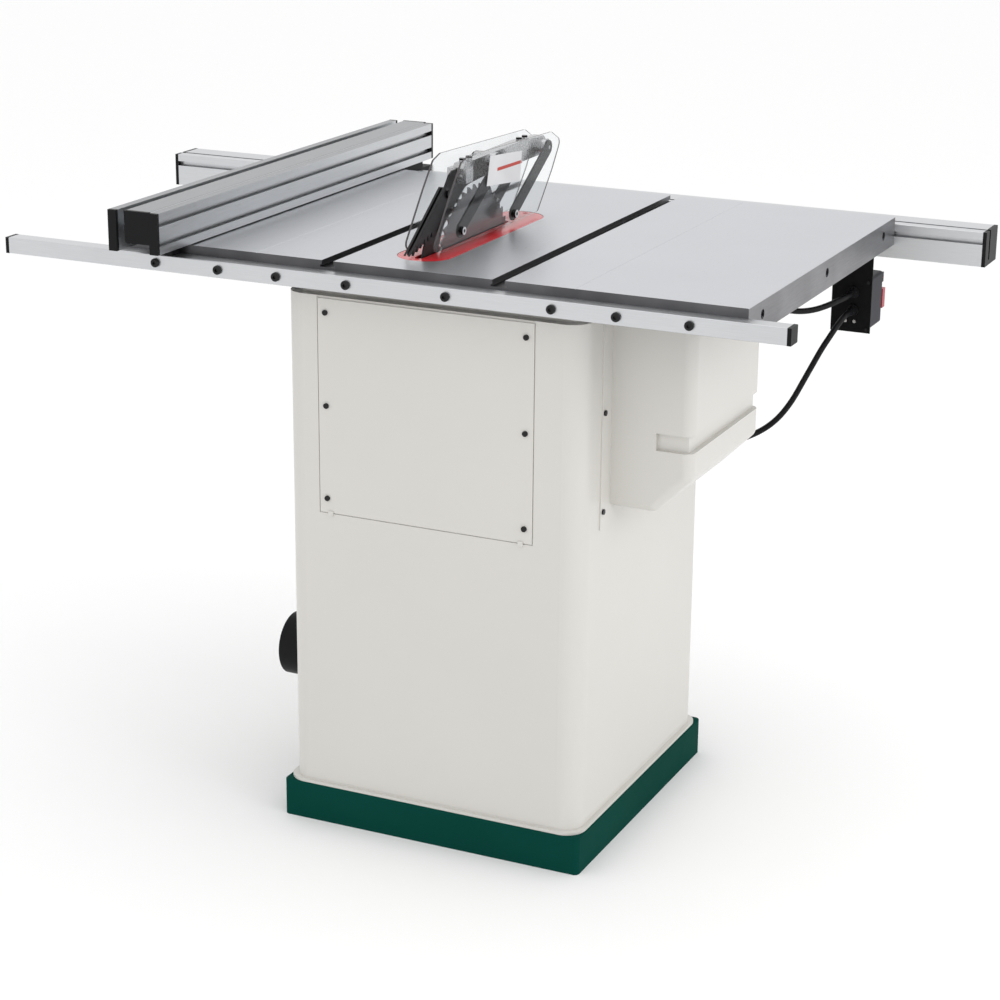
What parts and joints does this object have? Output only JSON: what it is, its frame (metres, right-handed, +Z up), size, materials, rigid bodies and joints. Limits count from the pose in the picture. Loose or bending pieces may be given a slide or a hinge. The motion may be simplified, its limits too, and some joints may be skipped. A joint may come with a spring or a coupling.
{
  "type": "table saw",
  "caption": "Cabinet table saw with cast table, rip fence on two rails, clear blade guard with splitter, and a blade that rises and tilts by handwheel.",
  "frame": {"origin": "centre of the plinth's floor bolt pattern, on the floor", "axes": "+X to the operator's right, +Y to the rear where the work leaves, +Z up; the operator stands at -Y"},
  "size_m": [1.481, 0.917, 1.034],
  "materials": {
    "green_paint": "gloss",
    "cream_paint": "gloss",
    "ground_iron": "ground",
    "raw_iron": "cast",
    "insert": "gloss",
    "alloy": "satin",
    "black_plastic": "matte",
    "black_steel": "satin",
    "steel": "ground",
    "bright_steel": "polished",
    "clear_plastic": "clear",
    "red_plastic": "gloss",
    "green_plastic": "gloss",
    "rubber": "matte"
  },
  "bodies": {
    "base": {"base_plinth": "green_paint", "cabinet": "cream_paint", "rear_panel": "cream_paint", "cover_screws": "black_steel", "motor_cover": "cream_paint", "front_panel": "black_steel", "table_main": "ground_iron", "table_wing_left": "ground_iron", "table_wing_right": "ground_iron", "table_insert": "insert", "rear_rail": "alloy", "rear_rail_bolts": "black_steel", "front_rail": "alloy", "rail_caps": "black_plastic", "trunnion_brackets": "raw_iron", "dust_chute": "cream_paint", "dust_port": "black_plastic", "switch_bracket": "black_steel", "switch_box": "black_plastic", "cord_glands": "black_plastic", "supply_cord": "rubber", "supply_cord_coil": "rubber", "supply_plug": "rubber", "motor_cord": "rubber"},
    "tilt_frame": {"front_trunnion": "raw_iron", "rear_trunnion": "raw_iron", "guide_frame": "steel", "splitter": "steel", "guard_bracket": "black_plastic"},
    "carriage": {"arbor_carriage": "raw_iron", "motor_body": "black_steel", "drive_belt": "rubber"},
    "blade": {"saw_blade": "bright_steel", "arbor_shaft": "steel", "arbor_flanges": "steel"},
    "rotor": {"motor_pulley": "steel"},
    "elevation_drive": {"elevation_handwheel": "black_plastic", "elevation_shaft": "steel"},
    "elevation_lock": {"elevation_knob": "black_plastic"},
    "elevation_grip": {"elevation_handle": "black_plastic"},
    "elevation_lift": {"elevation_screw": "steel"},
    "tilt_drive": {"tilt_handwheel": "black_plastic", "tilt_worm": "steel"},
    "tilt_lock": {"tilt_knob": "black_plastic"},
    "tilt_grip": {"tilt_handle": "black_plastic"},
    "fence": {"fence_faces": "alloy", "fence_beam": "alloy", "fence_caps": "black_plastic", "fence_head": "black_steel"},
    "lever": {"fence_lever": "black_plastic"},
    "front_arm_left": {"guard_front_arm_left": "black_steel"},
    "rear_arm_left": {"guard_rear_arm_left": "black_steel"},
    "shield_left": {"guard_shield_left": "clear_plastic"},
    "front_arm_right": {"guard_front_arm_right": "black_steel"},
    "rear_arm_right": {"guard_rear_arm_right": "black_steel"},
    "shield_right": {"guard_shield_right": "clear_plastic"},
    "pawl_left": {"kickback_pawl_left": "steel"},
    "pawl_right": {"kickback_pawl_right": "steel"},
    "paddle": {"stop_paddle": "red_plastic"},
    "button": {"start_button": "green_plastic"}
  },
  "joints": [
    {"name": "tilt_wheel", "type": "hinge", "parent": "base", "child": "tilt_drive", "pos_m": [0.25, -0.127, 0.718], "axis": [1, 0, 0], "range_deg": [0, 4320]},
    {"name": "tilt", "type": "hinge", "parent": "base", "child": "tilt_frame", "pos_m": [0.044, 0, 0.9], "axis": [0, -1, 0], "range_deg": [0, 45]},
    {"name": "tilt_lock_turn", "type": "hinge", "parent": "tilt_drive", "child": "tilt_lock", "pos_m": [0.28, -0.127, 0.718], "axis": [1, 0, 0], "range_deg": [0, 270]},
    {"name": "tilt_grip_turn", "type": "hinge", "parent": "tilt_drive", "child": "tilt_grip", "pos_m": [0.29, -0.127, 0.637], "axis": [1, 0, 0], "continuous": true},
    {"name": "elevation_wheel", "type": "hinge", "parent": "tilt_frame", "child": "elevation_drive", "pos_m": [-0.016, -0.27, 0.65], "axis": [0, 1, 0], "range_deg": [-4320, 0]},
    {"name": "elevation", "type": "slide", "parent": "tilt_frame", "child": "carriage", "axis": [0, 0, 1], "range_m": [-0.08, 0]},
    {"name": "elevation_screw_turn", "type": "hinge", "parent": "tilt_frame", "child": "elevation_lift", "pos_m": [-0.016, -0.085, 0.7], "axis": [0, 0, 1], "range_deg": [-4320, 0]},
    {"name": "elevation_lock_turn", "type": "hinge", "parent": "elevation_drive", "child": "elevation_lock", "pos_m": [-0.016, -0.29, 0.65], "axis": [0, -1, 0], "range_deg": [0, 270]},
    {"name": "elevation_grip_turn", "type": "hinge", "parent": "elevation_drive", "child": "elevation_grip", "pos_m": [-0.016, -0.3, 0.569], "axis": [0, 1, 0], "continuous": true},
    {"name": "blade_spin", "type": "hinge", "parent": "carriage", "child": "blade", "pos_m": [0.044, 0.015, 0.852], "axis": [1, 0, 0], "continuous": true},
    {"name": "motor_spin", "type": "hinge", "parent": "carriage", "child": "rotor", "pos_m": [-0.09, -0.017, 0.76], "axis": [1, 0, 0], "continuous": true},
    {"name": "fence_slide", "type": "slide", "parent": "base", "child": "fence", "axis": [1, 0, 0], "range_m": [-0.285, 0.265]},
    {"name": "fence_lock", "type": "hinge", "parent": "fence", "child": "lever", "pos_m": [0.419, -0.518, 0.8645], "axis": [-1, 0, 0], "range_deg": [0, 100]},
    {"name": "front_arm_left_lift", "type": "hinge", "parent": "tilt_frame", "child": "front_arm_left", "pos_m": [0.024, -0.218, 1], "axis": [1, 0, 0], "range_deg": [0, 13]},
    {"name": "rear_arm_left_lift", "type": "hinge", "parent": "tilt_frame", "child": "rear_arm_left", "pos_m": [0.024, -0.032, 1.008], "axis": [1, 0, 0], "range_deg": [0, 13]},
    {"name": "shield_left_level", "type": "hinge", "parent": "front_arm_left", "child": "shield_left", "pos_m": [0.021, -0.085, 0.918], "axis": [1, 0, 0], "range_deg": [-13, 0]},
    {"name": "guard_lift", "type": "hinge", "parent": "tilt_frame", "child": "front_arm_right", "pos_m": [0.064, -0.218, 1], "axis": [1, 0, 0], "range_deg": [0, 35]},
    {"name": "rear_arm_right_lift", "type": "hinge", "parent": "tilt_frame", "child": "rear_arm_right", "pos_m": [0.064, -0.032, 1.008], "axis": [1, 0, 0], "range_deg": [0, 35]},
    {"name": "shield_right_level", "type": "hinge", "parent": "front_arm_right", "child": "shield_right", "pos_m": [0.067, -0.085, 0.918], "axis": [1, 0, 0], "range_deg": [-35, 0]},
    {"name": "pawl_left_swing", "type": "hinge", "parent": "tilt_frame", "child": "pawl_left", "pos_m": [0.041, 0.112, 0.98], "axis": [1, 0, 0], "range_deg": [0, 40], "stiffness_Nm_per_rad": 0.08, "springref_deg": -34.38},
    {"name": "pawl_right_swing", "type": "hinge", "parent": "tilt_frame", "child": "pawl_right", "pos_m": [0.047, 0.112, 0.98], "axis": [1, 0, 0], "range_deg": [0, 40], "stiffness_Nm_per_rad": 0.08, "springref_deg": -34.38},
    {"name": "paddle_press", "type": "hinge", "parent": "base", "child": "paddle", "pos_m": [-0.424, -0.487, 0.785], "axis": [1, 0, 0], "range_deg": [0, 4], "stiffness_Nm_per_rad": 0.5, "springref_deg": -5.73},
    {"name": "button_press", "type": "slide", "parent": "base", "child": "button", "axis": [0, 1, 0], "range_m": [0, 0.004], "stiffness_N_per_m": 400, "springref_m": -0.002}
  ],
  "couplings": [
    {"joint": "tilt", "follows": "tilt_wheel", "ratio": 0.010417},
    {"joint": "front_arm_left_lift", "follows": "tilt_wheel", "ratio": 0.0028241},
    {"joint": "rear_arm_left_lift", "follows": "tilt_wheel", "ratio": 0.0028241},
    {"joint": "shield_left_level", "follows": "tilt_wheel", "ratio": -0.0028241},
    {"joint": "elevation", "follows": "elevation_wheel", "m_per_rad": 0.001061},
    {"joint": "elevation_screw_turn", "follows": "elevation_wheel", "ratio": 1},
    {"joint": "motor_spin", "follows": "blade_spin", "ratio": 0.8},
    {"joint": "rear_arm_right_lift", "follows": "guard_lift", "ratio": 1},
    {"joint": "shield_right_level", "follows": "guard_lift", "ratio": -1}
  ]
}
